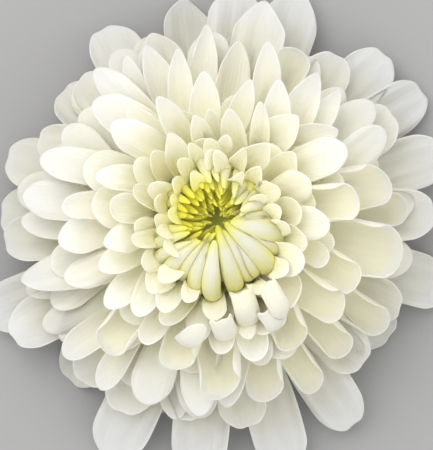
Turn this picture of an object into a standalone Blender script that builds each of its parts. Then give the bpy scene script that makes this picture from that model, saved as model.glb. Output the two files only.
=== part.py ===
"""Pompon chrysanthemum: one flower head, picked with a stub of its stem.

Metres, +Z up along the flower's axis. The head lies on its back on z = 0: three of its lowest ray
florets touch the surface there, and the stub's cut end is just clear of it. Radii and heights below
are measured from the flower's axis and from the surface.
"""

import math
import random
from dataclasses import dataclass

import bmesh
import bpy
from mathutils import Matrix, Vector

# The dome that the tips of the ray florets follow
DOME_RADIUS = 0.0565
DOME_HEIGHT = 0.0485
DOME_FULLNESS = 2.95

# Ray florets of the fringe, as (azimuth in degrees, reach of the tip, height of the tip)
FRINGE = (
    (18, 0.0570, 0.0050),
    (33, 0.0590, 0.0035),
    (46, 0.0575, 0.0060),
    (70, 0.0600, 0.0040),
    (84, 0.0580, 0.0070),
    (98, 0.0555, 0.0004),
    (120, 0.0545, 0.0050),
    (139, 0.0490, 0.0040),
    (162, 0.0525, 0.0060),
    (177, 0.0515, 0.0045),
    (201, 0.0585, 0.0040),
    (225, 0.0510, 0.0004),
    (246, 0.0605, 0.0050),
    (266, 0.0590, 0.0060),
    (287, 0.0600, 0.0040),
    (305, 0.0575, 0.0065),
    (326, 0.0490, 0.0045),
    (345, 0.0570, 0.0004),
    (3, 0.0515, 0.0125),
    (31, 0.0490, 0.0135),
    (54, 0.0490, 0.0150),
    (77, 0.0540, 0.0130),
    (110, 0.0475, 0.0140),
    (132, 0.0470, 0.0150),
    (153, 0.0465, 0.0140),
    (185, 0.0500, 0.0130),
    (208, 0.0550, 0.0110),
    (230, 0.0485, 0.0140),
    (243, 0.0495, 0.0130),
    (259, 0.0465, 0.0150),
    (279, 0.0480, 0.0140),
    (317, 0.0475, 0.0140),
    (334, 0.0475, 0.0135),
)
LOW_TIP = 0.0100  # a fringe floret whose tip is lower than this is one of the lowest ring
FRINGE_ROOT_RADIUS = 0.0115
FRINGE_ROOT_HEIGHTS = (0.0118, 0.0128)  # of the lowest ring, and of the ring above it
FRINGE_HALF_WIDTHS = (0.0068, 0.0066)
FRINGE_ROOT_PITCH = (12, 14)
FRINGE_TIP_PITCH = (-6, 34)
FRINGE_CURL = (28, 40)

# Ray florets above the fringe, each turned by the golden angle from the one before
GOLDEN_ANGLE = 137.508
RAY_COUNT = 92
RAY_REACH = (0.0475, 0.0150)
RAY_ROOT_RADIUS = (0.0110, 0.0152)
RAY_ROOT_HEIGHT = (0.0135, 0.0240)
RAY_HALF_WIDTH = (0.0064, 0.0040)
RAY_CURL = (46, 72)
RAY_ROOT_DROP = 19  # degrees by which a floret leaves its root flatter than its chord
RAY_TIP_LIFT = (44, 50)  # degrees by which its tip is steeper than its chord
FIRST_AZIMUTH = 65
SEED = 7

# Young florets of the heart, which arch over to the eye
HEART_COUNT = 36
HEART_TIP_RADIUS = (0.0084, 0.0016)
HEART_TIP_HEIGHT = (0.0462, 0.0448)
HEART_ROOT_RADIUS = (0.0114, 0.0044)
HEART_ROOT_HEIGHT = (0.0320, 0.0370)
HEART_ROOT_PITCH = (38, 72)
HEART_TIP_PITCH = (178, 207)
HEART_HALF_WIDTH = (0.0033, 0.0016)
HEART_CURL = 72
EYE_OFFSET = Vector((-0.0014, 0.0019, 0.0))

# Blades
FLORET_THICKNESS = 0.0009
BRACT_THICKNESS = 0.0008
HANDLES = (0.38, 0.36)  # Bezier handles as shares of the chord, at root and tip
HEART_HANDLES = (0.62, 0.50)
RAY_SIDES = 6
HEART_SIDES = 4
BRACT_SIDES = 4
RAY_STATIONS = (0.0, 0.40, 0.70, 0.90, 1.0)
HEART_STATIONS = (0.0, 0.40, 0.62, 0.82, 1.0)
BRACT_STATIONS = (0.0, 0.45, 0.78, 1.0)

# Turned bodies, as (radius, height) down their outer side
RAY_CORE = (
    (0.0000, 0.0340),
    (0.0165, 0.0340),
    (0.0192, 0.0290),
    (0.0204, 0.0225),
    (0.0194, 0.0165),
    (0.0164, 0.0122),
    (0.0130, 0.0103),
    (0.0000, 0.0103),
)
HEART_CORE = (
    (0.0000, 0.0436),
    (0.0050, 0.0434),
    (0.0090, 0.0415),
    (0.0116, 0.0375),
    (0.0120, 0.0340),
    (0.0104, 0.0308),
    (0.0000, 0.0298),
)
HEART_POCKET = (
    (0.0000, 0.0600),
    (0.0134, 0.0600),
    (0.0137, 0.0470),
    (0.0152, 0.0450),
    (0.0157, 0.0415),
    (0.0151, 0.0370),
    (0.0137, 0.0330),
    (0.0112, 0.0298),
    (0.0000, 0.0292),
)
CALYX_BOWL = (
    (0.0000, 0.0100),
    (0.0131, 0.0100),
    (0.0138, 0.0092),
    (0.0124, 0.0069),
    (0.0088, 0.0051),
    (0.0050, 0.0045),
    (0.0000, 0.0045),
)
CORE_STEPS = 26

# Bracts under the head, as (count, root, tip, root pitch, tip pitch, half width) for each row
BRACT_ROWS = (
    (11, (0.0048, 0.0051), (0.0122, 0.0058), 2, 18, 0.0021),
    (13, (0.0078, 0.0056), (0.0150, 0.0078), 12, 30, 0.0021),
    (17, (0.0108, 0.0070), (0.0172, 0.0104), 30, 12, 0.0019),
)
BRACT_CURL = 34

# Stub of the stem, cut across
STUB_CUT = 0.0003
STUB_TOP = 0.0042
STUB_RADIUS = 0.0031
STUB_FLARE = 0.0042
STUB_RIBS = 6
STUB_RIB_RISE = 0.00018
STUB_SIDES = 24

WHITE = (0.90, 0.89, 0.80, 1.0)
YELLOW_GREEN = (0.74, 0.73, 0.22, 1.0)
GREEN = (0.20, 0.33, 0.10, 1.0)
STEM_GREEN = (0.34, 0.45, 0.20, 1.0)


@dataclass(frozen=True)
class Blade:
    """A floret or a bract. Its roots and tips are (radius, height) in the plane of its azimuth."""

    azimuth: float
    root: tuple
    tip: tuple
    root_pitch: float
    tip_pitch: float
    half_width: float
    curl: float
    handles: tuple = HANDLES
    sweep: float = 0.0
    roll: float = 0.0
    lean: Vector = Vector((0.0, 0.0, 0.0))
    thickness: float = FLORET_THICKNESS
    pointed: bool = False


def mix(ends, share):
    """The value that far from the first of two ends to the second."""
    return ends[0] + (ends[1] - ends[0]) * share


def smooth(x):
    """0 below 0, 1 above 1, and an even S between."""
    x = min(max(x, 0.0), 1.0)
    return x * x * (3 - 2 * x)


def dome_height(radius):
    """Height of the dome of tips at a radius."""
    return DOME_HEIGHT * (1 - (radius / DOME_RADIUS) ** DOME_FULLNESS)


def spine(blade, u):
    """Radius, height and pitch of a blade's middle line, at share u of its length."""
    p0 = Vector(blade.root)
    p3 = Vector(blade.tip)
    chord = (p3 - p0).length
    rise = Vector((math.cos(blade.root_pitch), math.sin(blade.root_pitch)))
    fall = Vector((math.cos(blade.tip_pitch), math.sin(blade.tip_pitch)))
    p1 = p0 + rise * chord * blade.handles[0]
    p2 = p3 - fall * chord * blade.handles[1]
    w = 1 - u
    point = p0 * w**3 + p1 * 3 * w * w * u + p2 * 3 * w * u * u + p3 * u**3
    along = (p1 - p0) * w * w + (p2 - p1) * 2 * w * u + (p3 - p2) * u * u
    return point.x, point.y, math.atan2(along.y, along.x)


def width_share(blade, u):
    """Width of a blade there, as a share of its widest: a narrow claw, a broad blade and a tip."""
    if blade.pointed:
        return 0.7 + 0.3 * smooth(u / 0.4) - 0.96 * max(0.0, (u - 0.4) / 0.6) ** 1.5
    claw = 0.36 + 0.64 * smooth(u / 0.72)
    return claw - 0.52 * max(0.0, (u - 0.8) / 0.2) ** 2.2


def surface_point(blade, u, across, lift):
    """The point at share u along a blade, -1 to 1 across it, and -1 to 1 through its thickness."""
    radius, height, pitch = spine(blade, u)
    half = blade.half_width * width_share(blade, u)
    bend = max(half / blade.curl, 1e-6)
    x = bend * math.sin(blade.curl * across)
    y = bend * (1 - math.cos(blade.curl * across)) + lift * blade.thickness / 2
    turn = (math.cos(blade.roll), math.sin(blade.roll))
    x, y = x * turn[0] - y * turn[1], x * turn[1] + y * turn[0]
    out = Vector((math.cos(blade.azimuth), math.sin(blade.azimuth), 0))
    side = Vector((-math.sin(blade.azimuth), math.cos(blade.azimuth), 0))
    point = out * (radius - y * math.sin(pitch)) + side * (x + blade.sweep * u * u)
    point.z = height + y * math.cos(pitch)
    return point + blade.lean * u * u


def fringe_florets():
    """The hand-placed ray florets round the edge of the head."""
    florets = []
    for azimuth, reach, tip_height in FRINGE:
        ring = 0 if tip_height < LOW_TIP else 1
        florets.append(
            Blade(
                azimuth=math.radians(azimuth),
                root=(FRINGE_ROOT_RADIUS, FRINGE_ROOT_HEIGHTS[ring]),
                tip=(reach, tip_height),
                root_pitch=math.radians(FRINGE_ROOT_PITCH[ring]),
                tip_pitch=math.radians(FRINGE_TIP_PITCH[ring]),
                half_width=FRINGE_HALF_WIDTHS[ring],
                curl=math.radians(FRINGE_CURL[ring]),
                roll=math.radians(7),
            )
        )
    return florets


def ray_florets():
    """The ray florets of the dome, from the fringe in to the heart."""
    draw = random.Random(SEED)
    florets = []
    for k in range(RAY_COUNT):
        share = (k + 0.5) / RAY_COUNT
        reach = mix(RAY_REACH, share) + draw.uniform(-0.0012, 0.0012)
        root = (mix(RAY_ROOT_RADIUS, share), mix(RAY_ROOT_HEIGHT, share))
        tip = (reach, dome_height(reach) + draw.uniform(-0.0012, 0.0012))
        chord_pitch = math.atan2(tip[1] - root[1], tip[0] - root[0])
        florets.append(
            Blade(
                azimuth=math.radians(FIRST_AZIMUTH + k * GOLDEN_ANGLE + draw.uniform(-4, 4)),
                root=root,
                tip=tip,
                root_pitch=chord_pitch - math.radians(RAY_ROOT_DROP),
                tip_pitch=chord_pitch + math.radians(mix(RAY_TIP_LIFT, share) + draw.uniform(-7, 7)),
                half_width=mix(RAY_HALF_WIDTH, share) * draw.uniform(0.92, 1.08),
                curl=math.radians(mix(RAY_CURL, share)),
                sweep=draw.uniform(-0.0015, 0.0015),
                roll=math.radians(draw.uniform(-2, 12)),
            )
        )
    return florets


def heart_florets():
    """The young florets, rooted on the heart's own core and arched over to the eye."""
    draw = random.Random(SEED + 1)
    florets = []
    for k in range(HEART_COUNT):
        share = (k + 0.5) / HEART_COUNT
        florets.append(
            Blade(
                azimuth=math.radians(k * GOLDEN_ANGLE + draw.uniform(-5, 5)),
                root=(mix(HEART_ROOT_RADIUS, share), mix(HEART_ROOT_HEIGHT, share)),
                tip=(mix(HEART_TIP_RADIUS, share), mix(HEART_TIP_HEIGHT, share)),
                root_pitch=math.radians(mix(HEART_ROOT_PITCH, share)),
                tip_pitch=math.radians(mix(HEART_TIP_PITCH, share)),
                half_width=mix(HEART_HALF_WIDTH, share),
                curl=math.radians(HEART_CURL),
                handles=HEART_HANDLES,
                sweep=0.0016,
                lean=EYE_OFFSET,
            )
        )
    return florets


def bracts():
    """The green bracts in their rows up the outside of the bowl."""
    blades = []
    for row, (count, root, tip, root_pitch, tip_pitch, half_width) in enumerate(BRACT_ROWS):
        for k in range(count):
            blades.append(
                Blade(
                    azimuth=2 * math.pi * (k + 0.5 * (row % 2)) / count,
                    root=root,
                    tip=tip,
                    root_pitch=math.radians(root_pitch),
                    tip_pitch=math.radians(tip_pitch),
                    half_width=half_width,
                    curl=math.radians(BRACT_CURL),
                    thickness=BRACT_THICKNESS,
                    pointed=True,
                )
            )
    return blades


def split_alike(bm):
    """Splits a blank's faces into triangles, its two broad sides alike, so that they can't cross."""
    for face in list(bm.faces):
        low = min(v.co.z for v in face.verts)
        bottom = [v for v in face.verts if v.co.z < low + 1e-4]
        if len(bottom) == 2:
            top = [v for v in face.verts if v not in bottom]
            outer = max(bottom, key=lambda v: (round(abs(v.co.x), 3), -v.co.x))
            inner = min(top, key=lambda v: (round(abs(v.co.x), 3), -v.co.x))
            bmesh.utils.face_split(face, outer, inner)
        else:
            for vert in bottom:
                for other in bottom:
                    if vert.co.y > 0.1 and other.co.y < -0.1 and abs(vert.co.x - other.co.x) < 0.1:
                        bmesh.ops.connect_verts(bm, verts=[vert, other])
    bmesh.ops.triangulate(bm, faces=bm.faces)


def blank(sides, stations):
    """A rod one unit long, cut across at each station, which blades are shaped from."""
    bm = bmesh.new()
    upright = Matrix.Translation((0, 0, 0.5)) @ Matrix.Rotation(math.pi / 2, 4, "Z")
    bmesh.ops.create_cone(bm, cap_ends=True, segments=sides, radius1=1, radius2=1, depth=1, matrix=upright)
    for station in stations[1:-1]:
        everything = bm.verts[:] + bm.edges[:] + bm.faces[:]
        bmesh.ops.bisect_plane(bm, geom=everything, plane_co=(0, 0, station), plane_no=(0, 0, 1))
    split_alike(bm)
    return bm


def blade_mesh(name, blade, sides, stations):
    """A blade's closed mesh, shaped from a blank. What would dip under the surface lies on it."""
    bm = blank(sides, stations)
    for vert in bm.verts:
        across, through, u = vert.co
        lift = 0 if abs(through) < 0.1 else math.copysign(1, through)
        vert.co = surface_point(blade, u, across, lift)
        vert.co.z = max(vert.co.z, 0.0)
    mesh = bpy.data.meshes.new(name)
    bm.to_mesh(mesh)
    bm.free()
    return mesh


def collection_of(name):
    """A new collection in the scene."""
    made = bpy.data.collections.new(name)
    bpy.context.scene.collection.children.link(made)
    return made


def add_object(name, mesh, collection):
    """A new object in a collection."""
    made = bpy.data.objects.new(name, mesh)
    collection.objects.link(made)
    return made


def turned(name, profile, collection):
    """A body turned from a profile that runs down its outer side."""
    mesh = bpy.data.meshes.new(name)
    points = [(radius, 0, height) for radius, height in profile]
    mesh.from_pydata(points, [(i, i + 1) for i in range(len(points) - 1)], [])
    made = add_object(name, mesh, collection)
    screw = made.modifiers.new("turn", "SCREW")
    screw.steps = CORE_STEPS
    screw.render_steps = CORE_STEPS
    screw.use_merge_vertices = True
    screw.merge_threshold = 0.00001
    return made


def apply_modifiers(obj):
    """Replaces an object's mesh by the one that its modifiers make."""
    bpy.context.view_layer.update()
    graph = bpy.context.evaluated_depsgraph_get()
    mesh = bpy.data.meshes.new_from_object(obj.evaluated_get(graph))
    obj.modifiers.clear()
    obj.data = mesh


def keep_main_body(obj):
    """Drops the loose scraps and the sealed hollows that a union can leave."""
    bm = bmesh.new()
    bm.from_mesh(obj.data)
    left = set(bm.verts)
    bodies = []
    while left:
        body = set()
        edge_of_search = [left.pop()]
        while edge_of_search:
            vert = edge_of_search.pop()
            body.add(vert)
            for edge in vert.link_edges:
                other = edge.other_vert(vert)
                if other in left:
                    left.discard(other)
                    edge_of_search.append(other)
        bodies.append(body)
    main = max(bodies, key=len)
    for body in bodies:
        if body is not main:
            bmesh.ops.delete(bm, geom=list(body), context="VERTS")
    bm.to_mesh(obj.data)
    bm.free()


def grow_blades(body, blades, sides, stations):
    """Joins blades to the body that they grow from."""
    growing = collection_of(body.name + "_blades")
    for number, blade in enumerate(blades):
        name = f"{body.name}_{number}"
        add_object(name, blade_mesh(name, blade, sides, stations), growing)
    join = body.modifiers.new("join", "BOOLEAN")
    join.operation = "UNION"
    join.operand_type = "COLLECTION"
    join.collection = growing
    join.solver = "MANIFOLD"
    apply_modifiers(body)
    for obj in list(growing.objects):
        bpy.data.objects.remove(obj)
    bpy.data.collections.remove(growing)
    keep_main_body(body)


def cut(body, cutter):
    """Cuts one body by another, which is then removed."""
    taking = body.modifiers.new("cut", "BOOLEAN")
    taking.operation = "DIFFERENCE"
    taking.object = cutter
    taking.solver = "MANIFOLD"
    apply_modifiers(body)
    bpy.data.objects.remove(cutter)
    keep_main_body(body)


def material(name, colour, roughness):
    """A plain finish."""
    made = bpy.data.materials.new(name)
    made.use_nodes = True
    shader = made.node_tree.nodes["Principled BSDF"]
    shader.inputs["Base Color"].default_value = colour
    shader.inputs["Roughness"].default_value = roughness
    shader.inputs["Metallic"].default_value = 0.0
    return made


def make_stub(collection):
    """The ribbed stub of the stem, from its cut end to where it meets the bowl."""
    bm = bmesh.new()
    height = STUB_TOP - STUB_CUT
    middle = Matrix.Translation((0, 0, (STUB_TOP + STUB_CUT) / 2))
    bmesh.ops.create_cone(
        bm, cap_ends=True, segments=STUB_SIDES, radius1=1, radius2=1, depth=height, matrix=middle
    )
    everything = bm.verts[:] + bm.edges[:] + bm.faces[:]
    bmesh.ops.bisect_plane(bm, geom=everything, plane_co=(0, 0, STUB_TOP - height / 3), plane_no=(0, 0, 1))
    for vert in bm.verts:
        turn = math.atan2(vert.co.y, vert.co.x)
        share = smooth((vert.co.z - STUB_CUT) / height)
        radius = mix((STUB_RADIUS, STUB_FLARE), share) + STUB_RIB_RISE * math.cos(STUB_RIBS * turn)
        vert.co.x = radius * math.cos(turn)
        vert.co.y = radius * math.sin(turn)
    mesh = bpy.data.meshes.new("stem_stub")
    bm.to_mesh(mesh)
    bm.free()
    return add_object("stem_stub", mesh, collection)


def stand_on_origin(objects):
    """Moves the pieces sideways together, so that the middle of their box is over the origin."""
    corners = [obj.data.vertices for obj in objects]
    xs = [vert.co.x for verts in corners for vert in verts]
    ys = [vert.co.y for verts in corners for vert in verts]
    middle = Vector(((min(xs) + max(xs)) / 2, (min(ys) + max(ys)) / 2, 0))
    for obj in objects:
        obj.data.transform(Matrix.Translation(-middle))


def main():
    for obj in list(bpy.data.objects):
        bpy.data.objects.remove(obj)
    flower = collection_of("pompon_chrysanthemum")
    cutters = collection_of("cutters")

    florets = turned("ray_florets", RAY_CORE, flower)
    apply_modifiers(florets)
    grow_blades(florets, fringe_florets() + ray_florets(), RAY_SIDES, RAY_STATIONS)
    pocket = turned("heart_pocket", HEART_POCKET, cutters)
    pocket.hide_render = True
    pocket.display_type = "WIRE"
    cut(florets, pocket)

    heart = turned("heart_florets", HEART_CORE, flower)
    apply_modifiers(heart)
    grow_blades(heart, heart_florets(), HEART_SIDES, HEART_STATIONS)

    calyx = turned("calyx_bracts", CALYX_BOWL, flower)
    apply_modifiers(calyx)
    grow_blades(calyx, bracts(), BRACT_SIDES, BRACT_STATIONS)

    stub = make_stub(flower)

    finishes = (
        (florets, material("white_floret", WHITE, 0.6)),
        (heart, material("heart_floret", YELLOW_GREEN, 0.55)),
        (calyx, material("green_bract", GREEN, 0.6)),
        (stub, material("cut_stem", STEM_GREEN, 0.6)),
    )
    for obj, finish in finishes:
        obj.data.materials.clear()
        obj.data.materials.append(finish)
        obj.data.shade_smooth()
        obj.data.set_sharp_from_angle(angle=math.radians(50))
    stand_on_origin([obj for obj, _ in finishes])


main()
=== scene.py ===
"""A white pompon chrysanthemum bloom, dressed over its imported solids.

The bloom lies on its back, face up. Lengths are in metres, and angles are in degrees. Radii are
measured from the flower's axis, and heights from the surface it lies on.
"""

import logging
import math
import random
from dataclasses import dataclass, field, replace
from enum import Enum
from itertools import combinations

import bmesh
import bpy
from mathutils import Matrix, Vector

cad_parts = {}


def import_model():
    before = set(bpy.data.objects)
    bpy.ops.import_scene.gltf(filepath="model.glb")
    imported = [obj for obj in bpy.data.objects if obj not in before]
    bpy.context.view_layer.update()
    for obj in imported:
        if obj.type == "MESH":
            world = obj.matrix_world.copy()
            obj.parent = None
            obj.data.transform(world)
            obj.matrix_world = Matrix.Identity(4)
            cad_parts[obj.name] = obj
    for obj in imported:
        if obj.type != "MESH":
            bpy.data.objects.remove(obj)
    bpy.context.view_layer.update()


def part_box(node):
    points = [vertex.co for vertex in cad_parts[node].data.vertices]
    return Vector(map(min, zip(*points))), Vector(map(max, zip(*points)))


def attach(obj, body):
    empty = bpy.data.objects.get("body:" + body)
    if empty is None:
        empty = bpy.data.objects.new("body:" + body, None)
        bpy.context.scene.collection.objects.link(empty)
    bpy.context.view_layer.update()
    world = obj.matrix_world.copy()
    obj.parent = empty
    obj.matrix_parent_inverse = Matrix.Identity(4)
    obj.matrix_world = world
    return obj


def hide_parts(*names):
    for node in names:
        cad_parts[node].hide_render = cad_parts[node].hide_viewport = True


LOG = logging.getLogger("chrysanthemum")
SEED = 7
DOME_RADIUS = 0.0565
DOME_HEIGHT = 0.0485
DOME_FULLNESS = 2.95
EYE = Vector((0.0, 0.0003, 0.0))
HEART_MIDDLE = Vector((0.0021, -0.0032, 0.0))
HEART_REACH = (0.0136, 0.0176)
HEART_NARROWING = 0.56
HEART_SLANT = 0.0032
RECEPTACLE = (
    (0.0000, 0.0290), (0.0140, 0.0300), (0.0175, 0.0310), (0.0192, 0.0280), (0.0200, 0.0225),
    (0.0190, 0.0165), (0.0160, 0.0122), (0.0130, 0.0103), (0.0000, 0.0103),
)
HEART_CORE = (
    (0.0000, 0.0372), (0.0025, 0.0378), (0.0055, 0.0396), (0.0100, 0.0396), (0.0130, 0.0365),
    (0.0135, 0.0330), (0.0120, 0.0300), (0.0000, 0.0295),
)

Node = bpy.types.Node
Socket = bpy.types.NodeSocket
Material = bpy.types.Material
Colour = tuple[float, float, float]
Span = tuple[float, float]
Row = tuple[float, float, float]
Feed = dict[str | int, Socket | float | tuple]


def mix(ends: Span, share: float) -> float:
    """The value that far from the first of two ends to the second."""
    return ends[0] + (ends[1] - ends[0]) * share


def clamp(x: float) -> float:
    """The value, kept from 0 to 1."""
    return min(max(x, 0.0), 1.0)


def smooth(x: float) -> float:
    """0 below 0, 1 above 1, and an even S between."""
    x = clamp(x)
    return x * x * (3 - 2 * x)


def sector(azimuth: float, middle: float, spread: float) -> float:
    """How near an azimuth is to the middle of a sector of the head.

    Args:
        azimuth: The azimuth.
        middle: The azimuth of the sector's middle.
        spread: How far from the middle the nearness has dropped to about a third.

    Returns:
        1 at the middle, falling evenly to 0.
    """
    away = (azimuth - middle + 180) % 360 - 180
    return math.exp(-((away / spread) ** 2))


def dome_height(radius: float) -> float:
    """Height of the dome of tips at a radius."""
    return DOME_HEIGHT * (1 - min(radius / DOME_RADIUS, 1.0) ** DOME_FULLNESS)


def apart(first: Vector, second: Vector, stretch: float) -> float:
    """How far two tips are from each other, seen from above.

    Args:
        first: The place of one tip.
        second: The place of the other.
        stretch: What a distance out from the axis counts for, against one around it.

    Returns:
        The distance.
    """
    away = second - first
    out = (first + second).normalized()
    outward = away.dot(out)
    return math.hypot(outward * stretch, (away - out * outward).length)


def beyond_heart(spot: Vector) -> float:
    """How far a place is outside the egg-shaped rim of the heart, seen from above.

    Args:
        spot: The place.

    Returns:
        The distance, below 0 inside the rim.
    """
    away = Vector((spot.x, spot.y, 0.0)) - HEART_MIDDLE
    up = away.y / HEART_REACH[1]
    narrow = clamp(up)
    side = (away.x + HEART_SLANT * narrow) / (HEART_REACH[0] * (1 - HEART_NARROWING * narrow))
    share = math.hypot(side, up)
    return away.length * (1 - 1 / max(share, 1e-6))


class Tip(Enum):
    """The outline of a blade's tip."""

    ROUND = "round"
    POINTED = "pointed"
    NOTCHED = "notched"
    TOOTHED = "toothed"
    SPOON = "spoon"

    def shortening(self, across: float) -> float:
        """How much shorter a blade is at a place across it, as a share of its length.

        Args:
            across: -1 at one edge, 0 in the middle, 1 at the other edge.

        Returns:
            The share that the tip's outline takes off.
        """
        rounding = 1 - math.sqrt(max(0.0, 1 - across * across))
        if self is Tip.ROUND:
            return 0.17 * rounding
        if self is Tip.SPOON:
            return 0.28 * rounding
        if self is Tip.POINTED:
            return 0.10 * rounding + 0.12 * abs(across) ** 1.3
        if self is Tip.NOTCHED:
            return 0.15 * rounding + 0.03 * math.exp(-(((across - 0.12) / 0.17) ** 2))
        return 0.02 * rounding + 0.055 * math.sin(1.5 * math.pi * across) ** 2


@dataclass(frozen=True)
class Habit:
    """How one kind of blade is formed.

    Attributes:
        bends: (share of the length, rise above the straight line from root to tip) down its middle.
        curls: Half the angle that its cross-section turns through, at the claw, blade and tip.
        tip: The outline of its tip.
        claw: The width of its root, as a share of the widest.
        shoulder: Where along it the tip starts to narrow.
        taper: The share of its width that it has lost at the tip.
        keel: How far its edges stand up from a crease down its middle, as a share of its width.
        lip: How much further its two edges roll in.
        seam: How much cream shows along its edges.
        fold: The height of the folds that run down it.
        flare: How far its edges turn back out.
        wave: How far its edges wave.
        painted_cup_shade: How much creamy yellow is painted inside it, as painted shade in its
            hollow.
    """

    bends: tuple[Span, ...]
    curls: tuple[float, float, float]
    tip: Tip = Tip.ROUND
    claw: float = 0.34
    shoulder: float = 0.80
    taper: float = 0.16
    keel: float = 0.0
    lip: float = 0.0
    seam: float = 0.0
    fold: float = 0.00014
    flare: float = 0.0
    wave: float = 0.0004
    painted_cup_shade: float = 0.0

    SECTION_STEPS = 12
    LIP_START, LIP_SPAN = 0.34, 0.66
    MIXED = ("claw", "shoulder", "taper", "keel", "lip", "seam", "fold", "flare", "wave", "painted_cup_shade")

    def varied(self, draw: random.Random, amount: float = 1.0) -> "Habit":
        """The same kind of blade, grown a little differently.

        Args:
            draw: Where its chances come from.
            amount: How much it differs, as a share of the usual.

        Returns:
            The new habit.
        """
        bends = tuple((u, rise + amount * draw.uniform(-8, 8)) for u, rise in self.bends)
        tight = 1 + amount * draw.uniform(-0.22, 0.22)
        return replace(
            self,
            bends=bends,
            curls=tuple(curl * tight for curl in self.curls),
            lip=self.lip * (1 + amount * draw.uniform(-0.4, 0.4)),
            fold=self.fold * (1 + amount * draw.uniform(-0.6, 1.2)),
            flare=self.flare * (1 + amount * draw.uniform(-1, 1)),
            wave=self.wave * (1 + amount * draw.uniform(-0.5, 1.5)),
        )

    def toward(self, other: "Habit", share: float) -> "Habit":
        """A habit between this one and another.

        Args:
            other: The other habit.
            share: How far it is on the way to the other.

        Returns:
            The habit between them.
        """
        between = {
            name: mix((getattr(self, name), getattr(other, name)), share)
            for name in self.MIXED
        }
        places = sorted({u for u, _ in self.bends + other.bends})
        ends = [(Midline.rise(self.bends, u), Midline.rise(other.bends, u)) for u in places]
        return Habit(
            bends=tuple((u, mix(pair, share)) for u, pair in zip(places, ends)),
            curls=tuple(mix(pair, share) for pair in zip(self.curls, other.curls)),
            tip=other.tip if share > 0.5 else self.tip,
            **between,
        )

    def section(self, half: float, u: float, across: float, lean: float) -> Span:
        """The curled cross-section, before its folds.

        Args:
            half: Half the width of the sheet there.
            u: Share of the blade's length, from its root.
            across: -1 at one edge, 0 in the middle, 1 at the other edge.
            lean: How much more the side at 1 curls than the other.

        Returns:
            How far the point is to the side, and how far above the midline.
        """
        claw, blade, tip = self.curls
        curl = mix((claw, blade), smooth(u / 0.55)) + (tip - blade) * smooth((u - 0.7) / 0.3)
        curl = math.radians(curl) * (1 + math.copysign(lean, across) * smooth(u / 0.5))
        lip = math.radians(self.lip) * smooth((u - 0.3) / 0.4)
        lip *= 1 - 0.5 * smooth((u - 0.8) / 0.2)
        step = abs(across) / self.SECTION_STEPS
        x = y = 0.0
        for k in range(self.SECTION_STEPS):
            place = (k + 0.5) * step
            angle = curl * place + lip * smooth((place - self.LIP_START) / self.LIP_SPAN)
            x += math.cos(angle)
            y += math.sin(angle)
        return math.copysign(x * step * half, across), y * step * half

    def half_width(self, width: float) -> float:
        """Half the sheet's width, for a width that is seen from above once it has curled."""
        reach = max(self.section(1.0, 0.75, k / 8, 0.0)[0] for k in range(1, 9))
        return width / 2 / reach


class Kind(Enum):
    """The kinds of blade."""

    STRAP = Habit(((0, 14), (0.5, 4), (0.85, -9), (1, -3)), (42, 22, 22), Tip.NOTCHED, lip=8,
                  fold=0.00085, wave=0.0012)
    SCOOP = Habit(((0, 12), (0.5, -4), (0.8, -9), (1, 14)), (55, 30, 34), Tip.NOTCHED, lip=24,
                  fold=0.00065, wave=0.0011, painted_cup_shade=0.2)
    PAD = Habit(((0, 26), (0.35, 8), (0.6, -3), (0.8, -15), (1, -22)), (70, 30, 14), fold=0.00042,
                flare=0.0007, wave=0.0008)
    SPOON = Habit(((0, 26), (0.35, 8), (0.6, -7), (0.8, -17), (1, 16)), (70, 34, 40), lip=40,
                  fold=0.00026, painted_cup_shade=0.25)
    BUD = Habit(((0, 12), (0.35, 10), (0.6, 2), (0.8, -15), (1, -26)), (74, 42, 24), fold=0.00012,
                flare=0.0003, claw=0.5)
    CUP = Habit(((0, 30), (0.35, 10), (0.6, -16), (0.8, -12), (0.9, 24), (1, 84)), (80, 54, 74),
                Tip.SPOON, lip=82, claw=0.30, taper=0.0, fold=0.00008, painted_cup_shade=0.85)
    LANCE = Habit(((0, 20), (0.35, 6), (0.6, -3), (0.8, -12), (1, 6)), (62, 30, 36), Tip.POINTED,
                  shoulder=0.6, taper=0.28, keel=0.16, lip=14, painted_cup_shade=0.1)
    HOOD = Habit(((0, -58), (0.35, -40), (0.6, 2), (0.8, 36), (1, 58)), (72, 46, 44), shoulder=0.55,
                 taper=0.22, lip=10, wave=0.0003)
    TOOTHED = Habit(((0, -42), (0.35, -30), (0.6, -4), (0.8, 34), (1, 40)), (72, 62, 70),
                    Tip.TOOTHED, claw=0.6, taper=0.02, lip=20, fold=0.00005, wave=0.0002)
    FINGER = Habit(((0, -80), (0.3, -50), (0.5, 14), (0.75, 40), (1, 52)), (62, 80, 92), claw=0.7,
                   shoulder=0.54, taper=0.54, seam=0.9, fold=0.00005, wave=0.0001)
    BRACT = Habit(((0, 4), (1, -4)), (34, 34, 34), Tip.POINTED, claw=0.75, fold=0.00006, wave=0.0)


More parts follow.
